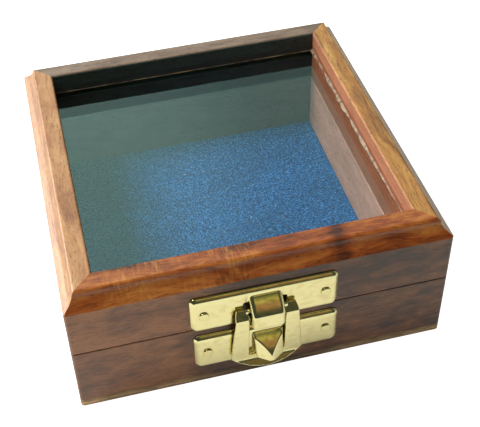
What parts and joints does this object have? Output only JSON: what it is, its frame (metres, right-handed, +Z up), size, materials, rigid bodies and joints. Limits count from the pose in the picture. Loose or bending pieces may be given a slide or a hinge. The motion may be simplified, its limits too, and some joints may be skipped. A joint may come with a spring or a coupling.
{
  "type": "coin display case",
  "caption": "Small square wooden box with a glazed hinged lid, a felt-lined well for coins, and a stamped brass swing hasp.",
  "frame": {"origin": "centre of the underside of the wooden case, on the surface it stands on", "axes": "+X to the right along the front, +Y from the front with the hasp to the back with the hinges, +Z up"},
  "size_m": [0.102, 0.1121, 0.0417],
  "materials": {
    "dark_sheesham": "lacquered dark rosewood, satin",
    "red_sheesham": "lacquered red-brown rosewood, satin",
    "plywood": "stained plywood, matt",
    "blue_felt": "blue flocked felt",
    "lacquered_brass": "polished and lacquered",
    "clear_glass": "clear float glass",
    "pale_glue": "dried pale glue"
  },
  "bodies": {
    "base": {"base_front_wall": "dark_sheesham", "base_back_wall": "dark_sheesham", "base_left_wall": "dark_sheesham", "base_right_wall": "dark_sheesham", "bottom_panel": "plywood", "felt_lining": "blue_felt", "latch_lower_plate": "lacquered_brass", "latch_lower_pins": "lacquered_brass", "hinge_left_base_leaf": "lacquered_brass", "hinge_right_base_leaf": "lacquered_brass", "hinge_left_pin": "lacquered_brass", "hinge_right_pin": "lacquered_brass", "hinge_base_screws": "lacquered_brass"},
    "lid": {"lid_front_wall": "dark_sheesham", "lid_back_wall": "dark_sheesham", "lid_left_wall": "dark_sheesham", "lid_right_wall": "dark_sheesham", "rim_front": "red_sheesham", "rim_back": "red_sheesham", "rim_left": "red_sheesham", "rim_right": "red_sheesham", "glass_pane": "clear_glass", "glazing_bead": "pale_glue", "latch_upper_plate": "lacquered_brass", "latch_upper_pins": "lacquered_brass", "hinge_left_lid_leaf": "lacquered_brass", "hinge_right_lid_leaf": "lacquered_brass", "hinge_lid_screws": "lacquered_brass"},
    "hasp": {"hasp": "lacquered_brass"}
  },
  "joints": [
    {"name": "lid_hinge", "type": "hinge", "parent": "base", "child": "lid", "pos_m": [0, 0.0528, 0.02185], "axis": [-1, 0, 0], "range_deg": [0, 180]},
    {"name": "hasp_swing", "type": "hinge", "parent": "lid", "child": "hasp", "pos_m": [-0.00025, -0.0531, 0.0276], "axis": [-1, 0, 0], "range_deg": [0, 130]}
  ]
}
